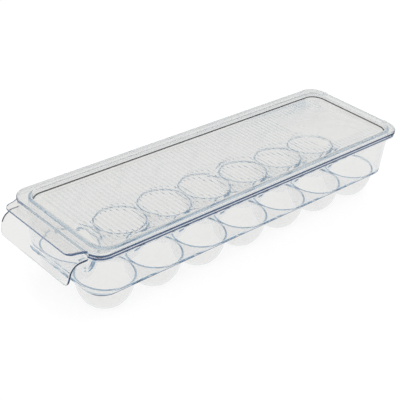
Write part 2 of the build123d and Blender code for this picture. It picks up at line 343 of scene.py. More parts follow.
def quarter_turn(steps: int) -> list[tuple[float, float]]:
    """Cosine and sine at the ends of the facets of a quarter turn.

    Args:
        steps: number of facets.

    Returns:
        The pairs, from 0 to 90 degrees.
    """
    angles = [QUARTER * step / steps for step in range(steps + 1)]
    return [(math.cos(angle), math.sin(angle)) for angle in angles]


def rounded_turn(upright: Ring, z_from: float, z_to: float, steps: int,
                 outward: bool = False) -> list[Ring]:
    """Rings of a quarter-round edge that starts upright at z_from and ends flat at z_to.

    Args:
        upright: ring where the edge is upright.
        z_from: height where the edge is upright.
        z_to: height where the edge has turned flat.
        steps: number of facets.
        outward: the edge turns away from the middle of the keeper.

    Returns:
        The rings in order.
    """
    radius = abs(z_to - z_from) * (-1 if outward else 1)
    return [upright.inset(radius * (1 - cosine), z_from + (z_to - z_from) * sine)
            for cosine, sine in quarter_turn(steps)]


@dataclass(frozen=True)
class PaintedEdgeShade:
    """Painted edge shade on the faces of one part of a moulding, where light runs along a clear edge.

    Attributes:
        air: depth of the painted shade seen from the air, from 0 to 1.
        inside: depth of the painted shade seen from inside the plastic.
        heights: lowest and highest place of a face's middle.
        rise: least and most share of a face's normal that points up.
        test: true for the middle and the normal of a face that has the mark.
    """

    air: float
    inside: float = 0.0
    heights: tuple[float, float] = ANY
    rise: tuple[float, float] = ANY
    test: Test = lambda at, up: True

    def holds(self, at: Vector, up: Vector) -> bool:
        """Whether a face has the mark.

        Args:
            at: middle of the face.
            up: its normal.

        Returns:
            True for a marked face.
        """
        return (self.heights[0] < at.z < self.heights[1] and self.rise[0] < up.z < self.rise[1]
                and self.test(at, up))


def under_tab(place: Vector) -> bool:
    """Whether a place on the rim's edge lies under the finger tab of the lid."""
    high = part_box("lid_finger_tab")[1]
    return place.x < high[0] and abs(place.y) < high[1]


def at_silhouette(up: Vector, reach: float) -> bool:
    """Whether an upright face sits on one of the two corners that stand at the outline in the camera's
    view, where painted corner shade goes.

    Args:
        up: normal of the face.
        reach: smallest share of the normal along the keeper and across it.

    Returns:
        True on the handle end's back corner and on the hinge end's front corner.
    """
    return up.x * up.y < 0 and min(abs(up.x), abs(up.y)) > reach


# ------------------------------------------------------------------ modelling


class Bench:
    """Modelling steps, each on a clean selection."""

    CORNER_STEPS = 12        # facets of a ring's corner
    ROD_SIDES = 32           # facets round a rod
    APART = 0.2              # rings are lifted this far apart while they are bridged, so that none twists
    WELD = 0.004 * MM        # vertices nearer to each other than this become one

    @staticmethod
    def clear() -> None:
        """Leaves edit mode with nothing selected."""
        if bpy.context.mode != "OBJECT":
            bpy.ops.object.mode_set(mode="OBJECT")
        bpy.ops.object.select_all(action="DESELECT")

    @staticmethod
    def hold(*objects: bpy.types.Object) -> None:
        """Selects objects and makes the first one active.

        Args:
            objects: the objects.
        """
        Bench.clear()
        for piece in objects:
            piece.select_set(True)
        bpy.context.view_layer.objects.active = objects[0]

    @staticmethod
    def edit(piece: bpy.types.Object, action: str = "DESELECT") -> None:
        """Opens a piece for editing in vertex mode.

        Args:
            piece: the object.
            action: SELECT for all of it, or DESELECT for nothing.
        """
        Bench.hold(piece)
        bpy.ops.object.mode_set(mode="EDIT")
        bpy.ops.mesh.select_mode(type="VERT")
        bpy.ops.mesh.select_all(action=action)

    @staticmethod
    def pick(piece: bpy.types.Object, test: Callable[[Vector], bool]) -> None:
        """Selects the vertices of the open piece that pass the test.

        Args:
            piece: the object in edit mode.
            test: true for the place of a wanted vertex.
        """
        bpy.ops.mesh.select_mode(type="VERT")
        bpy.ops.mesh.select_all(action="DESELECT")
        mesh = bmesh.from_edit_mesh(piece.data)
        for vert in mesh.verts:
            if test(vert.co):
                vert.select = True
        mesh.select_flush_mode()
        bmesh.update_edit_mesh(piece.data)

    @staticmethod
    def pick_edges(piece: bpy.types.Object, test: Callable[[bmesh.types.BMEdge], bool]) -> None:
        """Selects the edges of the open piece that pass the test.

        Args:
            piece: the object in edit mode.
            test: true for a wanted edge, which may ask what was selected until now.
        """
        bpy.ops.mesh.select_mode(type="EDGE")
        mesh = bmesh.from_edit_mesh(piece.data)
        wanted = [edge for edge in mesh.edges if test(edge)]
        bpy.ops.mesh.select_all(action="DESELECT")
        for edge in wanted:
            edge.select = True
        bmesh.update_edit_mesh(piece.data)

    @staticmethod
    def cap(piece: bpy.types.Object, *levels: float) -> None:
        """Fills the flat openings between the open edges at each height.

        Args:
            piece: the object.
            levels: the heights.
        """
        Bench.edit(piece)
        for level in levels:
            Bench.pick_edges(piece, lambda edge: len(edge.link_faces) < 2
                             and all(abs(vert.co.z - level) < SLACK for vert in edge.verts))
            bpy.ops.mesh.fill(use_beauty=True)
        Bench.close(piece)

    @staticmethod
    def join(pieces: Iterable[bpy.types.Object], name: str) -> bpy.types.Object:
        """Joins pieces into the first of them.

        Args:
            pieces: the objects.
            name: name of the result.

        Returns:
            The joined object.
        """
        Bench.hold(*pieces)
        bpy.ops.object.join()
        joined = bpy.context.view_layer.objects.active
        joined.name = joined.data.name = name
        return joined

    @staticmethod
    def apply(piece: bpy.types.Object, kind: str, **settings: object) -> None:
        """Adds a modifier with its settings and applies it.

        Args:
            piece: the object.
            kind: modifier type.
            settings: modifier properties.
        """
        Bench.hold(piece)
        modifier = piece.modifiers.new(kind.title(), kind)
        for key, value in settings.items():
            setattr(modifier, key, value)
        bpy.ops.object.modifier_apply(modifier=modifier.name)

    @staticmethod
    def repeat(piece: bpy.types.Object, count: int, pitch: float) -> None:
        """Repeats the piece along the keeper.

        Args:
            piece: the object.
            count: how many there are in all.
            pitch: distance from one to the next.
        """
        Bench.apply(piece, "ARRAY", count=count, use_relative_offset=False, use_constant_offset=True,
                    constant_offset_displace=(pitch, 0, 0))

    @staticmethod
    def round_off(piece: bpy.types.Object, width: float, steps: int, crease: float) -> None:
        """Rounds the sharp edges of the piece.

        Args:
            piece: the object.
            width: width of the rounding.
            steps: number of its facets.
            crease: least angle of a sharp edge, in degrees.
        """
        Bench.apply(piece, "BEVEL", width=width, segments=steps, limit_method="ANGLE",
                    angle_limit=math.radians(crease))

    @staticmethod
    def settle(piece: bpy.types.Object) -> None:
        """Puts the object at the origin, unturned, with its place in its mesh."""
        Bench.hold(piece)
        bpy.ops.object.transform_apply(location=True, rotation=True, scale=True)

    @staticmethod
    def sheet(middle: tuple[float, float, float], length: float, width: float,
              turn: float = 0.0) -> bpy.types.Object:
        """A flat rectangle, open for editing with all of it selected.

        Args:
            middle: its middle.
            length: size along X, or down where it is turned upright.
            width: size across.
            turn: turn about Y, in radians.

        Returns:
            The object.
        """
        Bench.clear()
        bpy.ops.mesh.primitive_plane_add(size=1, location=middle, rotation=(0, turn, 0))
        piece = bpy.context.active_object
        piece.scale = (length, width, 1)
        Bench.settle(piece)
        Bench.edit(piece, "SELECT")
        return piece

    @staticmethod
    def ring(ring: Ring, group: str) -> bpy.types.Object:
        """A rounded rectangle of edges, from a plane with bevelled corners.

        Args:
            ring: its size and place.
            group: name of the vertex group that marks it.

        Returns:
            The object.
        """
        piece = Bench.sheet(((ring.x_min + ring.x_max) / 2, 0, ring.z), ring.x_max - ring.x_min,
                            2 * ring.half_width)
        bpy.ops.mesh.bevel(offset=ring.radius, offset_type="OFFSET", segments=Bench.CORNER_STEPS,
                           affect="VERTICES")
        bpy.ops.mesh.select_all(action="SELECT")
        bpy.ops.mesh.delete(type="ONLY_FACE")
        Bench.clear()
        marks = piece.vertex_groups.new(name=group)
        marks.add(range(len(piece.data.vertices)), 1.0, "REPLACE")
        return piece

    @staticmethod
    def add_group(group: str) -> None:
        """Adds a vertex group of the open piece to the selection."""
        bpy.ops.object.vertex_group_set_active(group=group)
        bpy.ops.object.vertex_group_select()

    @staticmethod
    def bridge_rings(rings: list[Ring], name: str) -> bpy.types.Object:
        """A skin through rings in order.

        Args:
            rings: the rings.
            name: name of the object.

        Returns:
            The open skin.
        """
        names = [f"ring_{number}" for number in range(len(rings))]
        skin = Bench.join([Bench.ring(ring, mark) for ring, mark in zip(rings, names)], name)
        Bench.edit(skin)
        for low, high in zip(names, names[1:]):
            Bench.add_group(high)
            bpy.ops.transform.translate(value=(0, 0, Bench.APART))
            Bench.add_group(low)
            bpy.ops.mesh.bridge_edge_loops()
            bpy.ops.mesh.select_all(action="DESELECT")
            Bench.add_group(high)
            bpy.ops.transform.translate(value=(0, 0, -Bench.APART))
            bpy.ops.mesh.select_all(action="DESELECT")
        Bench.clear()
        skin.vertex_groups.clear()
        return skin

    @staticmethod
    def weld(piece: bpy.types.Object, distance: float = WELD) -> None:
        """Merges the vertices of a piece that meet, and leaves it open with all of it selected.

        Args:
            piece: the object.
            distance: how near two vertices are that meet.
        """
        Bench.edit(piece, "SELECT")
        bpy.ops.mesh.remove_doubles(threshold=distance)

    @staticmethod
    def close(piece: bpy.types.Object) -> None:
        """Merges doubles and turns all faces outwards.

        Args:
            piece: the object.
        """
        Bench.weld(piece)
        bpy.ops.mesh.normals_make_consistent(inside=False)
        Bench.clear()

    @staticmethod
    def combine(piece: bpy.types.Object, other: bpy.types.Object, operation: str) -> None:
        """Joins or cuts the piece with another closed solid, which is used up.

        Args:
            piece: the object that changes.
            other: the solid that joins it or cuts it.
            operation: UNION or DIFFERENCE.
        """
        Bench.close(other)
        Bench.apply(piece, "BOOLEAN", object=other, operation=operation, solver="EXACT")
        bpy.data.objects.remove(other)

    @staticmethod
    def unite(piece: bpy.types.Object, other: bpy.types.Object) -> None:
        """Makes another closed solid part of the piece."""
        Bench.combine(piece, other, "UNION")

    @staticmethod
    def carve(piece: bpy.types.Object, other: bpy.types.Object) -> None:
        """Cuts another closed solid out of the piece."""
        Bench.combine(piece, other, "DIFFERENCE")

    @staticmethod
    def block(low: Vector, high: Vector) -> bpy.types.Object:
        """A box, for cutting and for feet.

        Args:
            low: its lowest corner.
            high: its highest corner.

        Returns:
            The box.
        """
        Bench.clear()
        bpy.ops.mesh.primitive_cube_add(size=1, location=(low + high) / 2)
        box = bpy.context.active_object
        box.scale = high - low
        Bench.settle(box)
        return box

    @staticmethod
    def rod(middle: Vector, radius: float, length: float) -> bpy.types.Object:
        """A round rod across the keeper.

        Args:
            middle: its middle.
            radius: its radius.
            length: its length.

        Returns:
            The rod.
        """
        Bench.clear()
        bpy.ops.mesh.primitive_cylinder_add(vertices=Bench.ROD_SIDES, radius=radius, depth=length,
                                            location=middle, rotation=(QUARTER, 0, 0))
        rod = bpy.context.active_object
        Bench.settle(rod)
        return rod

    @staticmethod
    def facet(piece: bpy.types.Object, test: Test) -> None:
        """Shades the faces flat whose middle and normal pass a test.

        Args:
            piece: the object.
            test: true for the middle and the normal of a face that is shaded flat.
        """
        for face in piece.data.polygons:
            if test(face.center, face.normal):
                face.use_smooth = False

    @staticmethod
    def paint_edge_shade(piece: bpy.types.Object, marks: list[PaintedEdgeShade]) -> None:
        """Stores how deep each face's painted edge shade is, by the deepest of its marks.

        Args:
            piece: the object.
            marks: the marks that its faces may have.
        """
        found = [[mark for mark in marks if mark.holds(face.center, face.normal)]
                 for face in piece.data.polygons]
        for name, depths in ((EDGE_SHADE_PAINT, [[mark.air for mark in some] for some in found]),
                             (CORE_SHADE_PAINT, [[mark.inside for mark in some] for some in found])):
            layer = piece.data.attributes.new(name, "FLOAT", "FACE")
            layer.data.foreach_set("value", [max(face_depths, default=0.0) for face_depths in depths])

    @staticmethod
    def smooth(piece: bpy.types.Object, crease: float = 40.0, weight: int = 80) -> None:
        """Smooths the piece below the crease angle, with flat faces kept flat.

        Args:
            piece: the object.
            crease: edges sharper than this many degrees stay crisp.
            weight: how much large faces bend the shading of small ones.
        """
        Bench.hold(piece)
        bpy.ops.object.shade_smooth_by_angle(angle=math.radians(crease))
        Bench.apply(piece, "WEIGHTED_NORMAL", keep_sharp=True, weight=weight)


# ------------------------------------------------------------------ tray


@dataclass
class CupRows:
    """Two rows of round egg cups sunk in the floor of the tray.

    Attributes:
        columns: cups in a row.
        segments: facets round a cup.
        steps: facets down the side of a cup.
        lip_steps: facets of the softened mouth.
        wall: thickness of a cup.
        foot: radius of the flat foot.
        margin: flat ring round the mouth, in the plane of the floor.
        seam: the halves of a pair of cups merge nearer to each other than this.
    """

    columns: int = 7
    segments: int = 72
    steps: int = 12
    lip_steps: int = 5
    wall: float = 1.8 * MM
    foot: float = 8.0 * MM
    margin: float = 0.1 * MM
    seam: float = 0.003 * MM

    def __post_init__(self) -> None:
        """Reads the places of the cups and of the floor from the frame."""
        low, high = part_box("egg_cup_back_1")
        self.first_x = (low[0] + high[0]) / 2
        self.outer = (high[0] - low[0]) / 2
        self.row_y = high[1] - self.outer
        self.drop = high[2] - low[2]
        self.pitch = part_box("egg_cup_back_2")[0][0] - low[0]
        self.floor_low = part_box("tray_floor")[0][2]
        self.floor_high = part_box("tray_floor")[1][2]

    def profile(self, side: Side) -> list[tuple[float, float]]:
        """Radius and height of each ring of a cup, from the foot up.

        Args:
            side: which side of the wall.

        Returns:
            The rings, the last one flat on the floor.
        """
        wall = self.wall if side is Side.EGGS else 0.0
        radius, depth = self.outer - wall, self.drop - wall
        rings = [(self.foot + (radius - self.foot) * sine, self.floor_low - depth * cosine)
                 for cosine, sine in quarter_turn(self.steps)]
        if side is Side.EGGS:
            lip = self.outer - radius
            rings += [(self.outer - lip * cosine, self.floor_high - lip + lip * sine)
                      for cosine, sine in quarter_turn(self.lip_steps)]
        rings.append((self.outer + self.margin, rings[-1][1]))
        return rings

    def build(self, side: Side) -> bpy.types.Object:
        """All cups, open at their mouths.

        Args:
            side: which side of the wall.

        Returns:
            One object with the pairs of cups, each pair meeting at the middle plane.
        """
        rings = self.profile(side)
        foot = rings[0][0]
        centre = Vector((self.first_x, self.row_y, 0))
        Bench.clear()
        bpy.ops.mesh.primitive_circle_add(vertices=self.segments, radius=foot, fill_type="TRIFAN",
                                          location=(centre.x, centre.y, rings[0][1]))
        cup = bpy.context.active_object
        Bench.settle(cup)
        Bench.edit(cup)
        Bench.pick(cup, lambda co: (co - centre).xy.length > foot / 2)
        for (radius, z), (next_radius, next_z) in zip(rings, rings[1:]):
            growth = next_radius / radius
            bpy.ops.mesh.extrude_region_move(TRANSFORM_OT_translate={"value": (0, 0, next_z - z)})
            bpy.ops.transform.resize(value=(growth, growth, 1),
                                     center_override=(centre.x, centre.y, next_z))
        bpy.ops.mesh.select_all(action="SELECT")
        bpy.ops.mesh.bisect(plane_co=(0, 0, 0), plane_no=(0, -1, 0), clear_outer=True, clear_inner=False,
                            use_fill=False, threshold=HAIR)
        Bench.apply(cup, "MIRROR", use_axis=(False, True, False), merge_threshold=self.seam)
        Bench.repeat(cup, self.columns, self.pitch)
        cup.name = f"cups_{side.value}"
        return cup


@dataclass
class PullHandle:
    """Sheet handle that hangs from the lip of the rim, bent from flat to upright.

    Attributes:
        wall: thickness of the sheet.
        bend: outside radius of the bend.
        flare: how far the foot leans outwards.
        foot_half_width: half width at the foot.
        corner: radius of the lower corners.
        edge: rounding of the sheet's edges.
        bend_steps: facets of the bend.
        corner_steps: facets of a lower corner.
        edge_steps: facets of a rounded edge.
        crease: least angle of an edge that is rounded, in degrees.
        sink: how deep the root is set into the lip.
    """

    wall: float = 2.0 * MM
    bend: float = 10.0 * MM
    flare: float = 1.6 * MM
    foot_half_width: float = 43.0 * MM
    corner: float = 4.5 * MM
    edge: float = 0.9 * MM
    bend_steps: int = 12
    corner_steps: int = 8
    edge_steps: int = 4
    crease: float = 50.0
    sink: float = 0.1 * MM

    def build(self) -> bpy.types.Object:
        """Makes the handle, with its root just inside the lip.

        Returns:
            The closed handle.
        """
        low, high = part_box("pull_handle")
        top_z = high[2] + self.sink
        bend_x = low[0] + self.flare + self.bend
        tilt = math.atan2(self.flare, top_z - self.bend - low[2])
        handle = Bench.sheet((high[0], 0, top_z - self.wall / 2), self.wall, 2 * high[1], QUARTER)
        bpy.ops.mesh.extrude_region_move(TRANSFORM_OT_translate={"value": (bend_x - high[0], 0, 0)})
        bpy.ops.mesh.spin(steps=self.bend_steps, angle=QUARTER - tilt,
                          center=(bend_x, 0, top_z - self.bend), axis=(0, 1, 0))
        self.drop_sheet(handle, low, self.foot_half_width / high[1], tilt)
        Bench.round_off(handle, self.edge, self.edge_steps, self.crease)
        return handle

    def drop_sheet(self, handle: bpy.types.Object, low: Vector, share: float, tilt: float) -> None:
        """Extrudes the upright part, narrows its foot and rounds the lower corners.

        Args:
            handle: the open handle, with the end of the bend selected.
            low: lowest corner of the handle's space.
            share: width at the foot as a share of the width at the top.
            tilt: lean of the upright part.
        """
        mesh = bmesh.from_edit_mesh(handle.data)
        level = min(vert.co.z for vert in mesh.verts if vert.select)
        fall = level - low[2] - self.wall * math.sin(tilt)
        bpy.ops.mesh.extrude_region_move(TRANSFORM_OT_translate={
            "value": (-fall * math.tan(tilt), 0, -fall)})
        bpy.ops.transform.resize(value=(1, share, 1), center_override=(0, 0, 0))
        Bench.pick_edges(handle, lambda edge: edge.select
                         and abs(edge.verts[0].co.y - edge.verts[1].co.y) < NEAR)
        bpy.ops.mesh.bevel(offset=self.corner, segments=self.corner_steps, affect="EDGES")
        Bench.clear()


@dataclass
class HingeEars:
    """Two small ears on the rim that hold the pins of the lid.

    Attributes:
        thick: thickness of an ear.
        foot_reach: reach of its foot past the axis, as a share of the ear's radius.
        space: clearance between an ear and its notch.
        play: radial clearance of a pin in its bore.
        snap: width of the slot that a pin snaps through.
        sink: how deep an ear is set into the rim.
        barrel: radius on which the lid's lower edge is cut, as a share of the rim's reach past the axis.
    """

    thick: float = 3.0 * MM
    foot_reach: float = 0.6
    space: float = 0.25 * MM
    play: float = 0.05 * MM
    snap: float = 1.3 * MM
    sink: float = 0.3 * MM
    barrel: float = 0.97

    def __post_init__(self) -> None:
        """Reads the pins and the ears from the frame."""
        low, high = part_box("hinge_ears")
        pin_low, pin_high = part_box("lid_hinge_pins")
        self.axis_x, self.axis_z = (pin_low[0] + pin_high[0]) / 2, (pin_low[2] + pin_high[2]) / 2
        self.pin = (pin_high[0] - pin_low[0]) / 2
        self.radius = high[2] - self.axis_z
        self.end_x = high[0]
        self.rim_z = low[2]
        self.offset = high[1] - self.thick / 2
        self.beyond = Vector((2 * self.radius, 0, 0))      # how far a cut runs on past the rear end

    def middles(self) -> list[Vector]:
        """Centre of each ear's bore."""
        return [Vector((self.axis_x, side * self.offset, self.axis_z)) for side in (-1, 1)]

    def ear(self, middle: Vector) -> bpy.types.Object:
        """Makes one ear, a boss on a foot with a bore that is slotted at the back.

        Args:
            middle: centre of its bore.

        Returns:
            The ear, a little sunk into the rim.
        """
        half = Vector((0, self.thick / 2, 0))
        ear = Bench.rod(middle, self.radius, self.thick)
        foot_low = Vector((self.axis_x - self.radius, middle.y, self.rim_z - self.sink)) - half
        foot_high = Vector((self.axis_x + self.foot_reach * self.radius, middle.y, self.axis_z)) + half
        Bench.unite(ear, Bench.block(foot_low, foot_high))
        Bench.carve(ear, Bench.rod(middle, self.pin + self.play, 2 * self.thick))
        slot = Vector((0, self.thick, self.snap / 2))
        Bench.carve(ear, Bench.block(middle - slot, middle + slot + self.beyond))
        far = Vector((self.end_x, middle.y, self.rim_z))
        reach = Vector((0, self.thick, 2 * self.radius))
        Bench.carve(ear, Bench.block(far - reach, far + reach * 2 + self.beyond / 2))
        return ear

    def build(self) -> list[bpy.types.Object]:
        """Both ears."""
        return [self.ear(middle) for middle in self.middles()]

    def notches(self) -> list[bpy.types.Object]:
        """Blocks that cut the notches in the lid's edge.

        Returns:
            The blocks.
        """
        blocks = []
        for middle in self.middles():
            half = Vector((0, self.thick / 2 + self.space, 3 * self.radius))
            low = middle - half - Vector((self.radius + self.space, 0, 0))
            blocks.append(Bench.block(low, middle + half + self.beyond))
        return blocks

    def turning_space(self, half_width: float) -> bpy.types.Object:
        """What the lid's lower hinge-end edge gives up so that it can turn over the rim.

        Args:
            half_width: half width of the lid.

        Returns:
            The cutting solid.
        """
        middle = Vector((self.axis_x, 0, self.axis_z))
        reach = Vector((0, 2 * half_width, 0))
        space = Bench.block(middle - reach - Vector((0, 0, 2 * self.radius)), middle + reach + self.beyond)
        barrel = Bench.rod(middle, self.barrel * (self.end_x - self.axis_x), 6 * half_width)
        Bench.carve(space, barrel)
        return space

    def pins(self) -> list[bpy.types.Object]:
        """Pins that bridge the notches, set into the lid's edge at both ends."""
        length = self.thick + 2 * self.space + 2 * self.sink
        return [Bench.rod(middle, self.pin, length) for middle in self.middles()]


@dataclass
class Tray:
    """The clear tray: flange, walls, floor with cups, pull handle and hinge ears in one moulding.

    Attributes:
        finish: its plastic.
        wall: thickness of the walls.
        corner: corner radius of the walls.
        rim_corner: corner radius of the rim.
        foot_turn: inside radius where the walls meet the floor.
        mouth_turn: radius where the walls run into the flange.
        rim_turn: radius of the rounded rim edge.
        step: how far the lip stands back from the edge of the flange.
        strip: width of the strip of painted shade below the rim's top turn, and half of that on the lip.
        lip_wall: distance from the edge of the flange to the inside of the lip.
        lip_turn: radius of the rounded foot of the lip.
        channel_turn: radius between the lip and the underside of the flange.
        root_reach: how far down the handle's far edge has painted shade from inside.
        far_turn: shares of a normal across the keeper between which that edge has painted shade.
        side_share: least such share where both edges of the handle have painted shade.
        corner_reach: least share both along and across where the corners of the rim have painted shade.
        steps: facets of a turn.
        small_steps: facets of a small turn.
    """

    finish: ClearPlastic
    wall: float = 1.9 * MM
    corner: float = 16.0 * MM
    rim_corner: float = 13.0 * MM
    foot_turn: float = 1.4 * MM
    mouth_turn: float = 0.4 * MM
    rim_turn: float = 0.6 * MM
    step: float = 0.5 * MM
    strip: float = 0.75 * MM
    lip_wall: float = 1.5 * MM
    lip_turn: float = 0.4 * MM
    channel_turn: float = 0.2 * MM
    root_reach: float = 10.0 * MM
    far_turn: tuple[float, float] = (0.1, 0.95)
    side_share: float = 0.7
    corner_reach: float = 0.4
    steps: int = 4
    small_steps: int = 2

    def __post_init__(self) -> None:
        """Reads the rim, the walls and the floor from the frame."""
        low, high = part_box("tray_rim")
        self.rim = Ring(low[0], high[0], high[1], self.rim_corner, high[2])
        self.lip_foot = low[2]
        side, hinge_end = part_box("back_side_wall"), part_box("hinge_end_wall")
        handle_end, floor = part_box("handle_end_wall"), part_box("tray_floor")
        self.rim_under = side[1][2]
        self.top = Ring(handle_end[0][0], hinge_end[1][0], side[1][1], self.corner, self.rim_under)
        self.foot = Ring(floor[0][0], floor[1][0], floor[1][1], self.corner, floor[1][2])
        self.floor_low, self.floor_high = floor[0][2], floor[1][2]

    def floor_turn(self, foot: Ring, top: Ring, floor_z: float) -> list[Ring]:
        """Rings where a wall turns into one side of the floor.

        Args:
            foot: foot of the wall, on that side.
            top: top of the wall, on that side.
            floor_z: height of that side of the floor.

        Returns:
            The rings, from the wall to the floor.
        """
        z = floor_z + self.foot_turn
        share = (z - foot.z) / (top.z - foot.z)
        return rounded_turn(foot.towards(top, share), z, floor_z, self.steps)

    def section(self) -> list[Ring]:
        """Rings round the tray, from the floor inside, over the rim, to the underside of the floor.

        Returns:
            The rings in order.
        """
        inside_foot, inside_top = self.foot.inset(self.wall), self.top.inset(self.wall)
        inside = self.floor_turn(inside_foot, inside_top, self.floor_high)[::-1]
        mouth = rounded_turn(inside_top, self.rim.z - self.mouth_turn, self.rim.z, self.small_steps,
                             outward=True)
        rim_top = rounded_turn(self.rim, self.rim.z - self.rim_turn, self.rim.z, self.steps)[::-1]
        rim_strip = [self.rim.inset(0.0, self.rim.z - self.rim_turn - self.strip)]
        edge_low = rounded_turn(self.rim, self.rim_under + self.step, self.rim_under, self.small_steps)
        lip = self.rim.inset(self.step)
        lip_strip = [lip.inset(0.0, self.rim_under - 2 * self.strip)]
        lip_out = rounded_turn(lip, self.lip_foot + self.lip_turn, self.lip_foot, self.steps)
        inner = self.rim.inset(self.lip_wall)
        lip_in = rounded_turn(inner, self.lip_foot + self.lip_turn, self.lip_foot, self.small_steps,
                              outward=True)[::-1]
        channel = rounded_turn(inner, self.rim_under - self.channel_turn, self.rim_under,
                               self.small_steps)
        root = rounded_turn(self.top, self.rim_under - self.mouth_turn, self.rim_under,
                            self.small_steps, outward=True)[::-1]
        outside = self.floor_turn(self.foot, self.top, self.floor_low)
        return (inside + mouth + rim_top + rim_strip + edge_low + lip_strip + lip_out + lip_in
                + channel + root + outside)

    def build(self) -> bpy.types.Object:
        """Makes the whole moulding.

        Returns:
            The closed tray.
        """
        cups = CupRows()
        skin = Bench.bridge_rings(self.section(), "tray_walls")
        tray = Bench.join([skin, cups.build(Side.EGGS), cups.build(Side.SHELF)], "clear_tray")
        Bench.cap(tray, self.floor_high, self.floor_low)
        Bench.unite(tray, PullHandle().build())
        for ear in HingeEars().build():
            Bench.unite(tray, ear)
        Bench.smooth(tray)
        Bench.paint_edge_shade(tray, self.marks())
        return tray

    def marks(self) -> list[PaintedEdgeShade]:
        """How deep the painted edge shade is on the rim, the lip, the handle, the floor and the cup
        mouths.

        Returns:
            The marks.
        """
        rim_edge = self.rim.inset(self.rim_turn)
        lip_inside = self.rim.inset(self.lip_wall + self.lip_turn)
        floor_edge = self.foot.inset(self.wall)
        return [
            # Painted shade line on the rounded top edge of the rim with the strip below it.
            PaintedEdgeShade(air=0.95, heights=(self.rim.z - self.rim_turn - self.strip, self.rim.z - SLACK),
                 rise=(-LEVEL, STEEP), test=lambda at, up: rim_edge.excludes(at) and not under_tab(at)),
            # Painted shade line on the lower edge of the rim with the strip at the top of the lip.
            PaintedEdgeShade(air=0.94, heights=(self.rim_under - 2 * self.strip, self.rim_under + self.step),
                 test=lambda at, up: rim_edge.excludes(at) and not under_tab(at)),
            # Painted shade on the two corners of the rim that stand at the outline in the camera's view,
            # where the light gathers.
            PaintedEdgeShade(air=0.9, inside=0.92, heights=(self.rim_under, self.rim.z - SLACK),
                 test=lambda at, up: rim_edge.excludes(at) and at_silhouette(up, self.corner_reach)),
            # Faint painted shade on the rounded foot of the lip.
            PaintedEdgeShade(air=0.3, heights=(self.lip_foot, self.lip_foot + self.lip_turn), rise=(-math.inf, 0.0),
                 test=lambda at, up: lip_inside.excludes(at)),
            # Painted shade lines on both upright edges of the handle, and on the upper part of its far
            # edge also from inside.
            PaintedEdgeShade(air=0.97, heights=(-math.inf, self.lip_foot),
                 test=lambda at, up: at.x < self.rim.x_min and abs(up.y) > self.side_share),
            PaintedEdgeShade(air=1.0, inside=1.0, heights=(self.lip_foot - self.root_reach, self.lip_foot),
                 test=lambda at, up: at.x < self.rim.x_min
                 and self.far_turn[0] < up.y < self.far_turn[1]),
            # Faint painted shade rings on the softened mouths of the cups.
            PaintedEdgeShade(air=0.1, inside=0.25, heights=(self.floor_high - self.wall, self.floor_high - SLACK),
                 rise=(LEVEL, STEEP)),
            # Painted shade line on the rounded lower edge of the tray, apart from its handle end.
            PaintedEdgeShade(air=0.95, heights=(self.floor_low + SLACK, self.floor_low + self.foot_turn - SLACK),
                 test=lambda at, up: floor_edge.excludes(at) and at.x > floor_edge.x_min),
        ]


# ------------------------------------------------------------------ lid


@dataclass
class Ribs:
    """Fine cross ribs moulded on top of the sunk panel, with a bare middle at the hinge end.

    Attributes:
        pitch: distance from rib to rib.
        width: width of a rib.
        height: height of a rib.
        margin: flat border round the ribbed field.
        end_taper: length over which a rib rises at its ends.
        plain_length: length of the field at the hinge end whose middle has no ribs.
        plain_half_width: half of the width of that bare middle.
        crest: places across a rib, as shares of its width, with the height there as a share of its height.
        weld: vertices of two strips nearer to each other than this become one.
    """

    pitch: float = 4.53 * MM
    width: float = 2.0 * MM
    height: float = 0.05 * MM
    margin: float = 6.0 * MM
    end_taper: float = 3.0 * MM
    plain_length: float = 70.0 * MM
    plain_half_width: float = 31.0 * MM
    crest: tuple[tuple[float, float], ...] = (
        (-0.5, 0.0), (-0.3, 0.45), (-0.1, 0.95), (0.1, 0.95), (0.3, 0.45), (0.5, 0.0))
    weld: float = 0.005 * MM

    def strips(self, x: float, count: int, half: float, z: float, inner: float) -> bpy.types.Object:
        """Equal ribs side by side, each with the flat strip it stands on.

        Args:
            x: low end of the first strip.
            count: how many ribs.
            half: half of a rib's length across the panel.
            z: height of the panel.
            inner: a rib is missing nearer to the middle than this.

        Returns:
            The strips.
        """
        middle = x + self.pitch / 2
        strip = Bench.sheet((middle, 0, z), self.pitch, 2 * half)
        ends = [half - self.end_taper, -half + self.end_taper]
        if inner:
            ends += [inner, inner + self.end_taper, -inner, -inner - self.end_taper]
        cuts = [((middle + share * self.width, 0, z), (1, 0, 0)) for share, _ in self.crest]
        cuts += [((0, y, z), (0, 1, 0)) for y in ends]
        for place, normal in cuts:
            bpy.ops.mesh.select_all(action="SELECT")
            bpy.ops.mesh.bisect(plane_co=place, plane_no=normal)
        low = inner + self.end_taper - SLACK if inner else -half
        high = half - self.end_taper + SLACK
        for share, lift in self.crest[1:-1]:
            column = middle + share * self.width
            Bench.pick(strip, lambda co: abs(co.x - column) < SLACK and low < abs(co.y) < high)
            bpy.ops.transform.translate(value=(0, 0, lift * self.height))
        Bench.repeat(strip, count, self.pitch)
        return strip

    def build(self, panel: Ring) -> bpy.types.Object:
        """Makes the ribbed field of the panel.

        Args:
            panel: outline and height of the panel.

        Returns:
            The ribbed field, a rectangle with a flat border.
        """
        half = panel.half_width - self.margin
        x_min, x_max = panel.x_min + self.margin, panel.x_max - self.margin
        count = int((x_max - x_min) / self.pitch)
        short = int(self.plain_length / self.pitch)
        start = (x_min + x_max - count * self.pitch) / 2
        split = start + (count - short) * self.pitch
        field = Bench.join([self.strips(start, count - short, half, panel.z, 0.0),
                            self.strips(split, short, half, panel.z, self.plain_half_width)], "rib_field")
        Bench.weld(field, self.weld)
        Bench.clear()
        return field


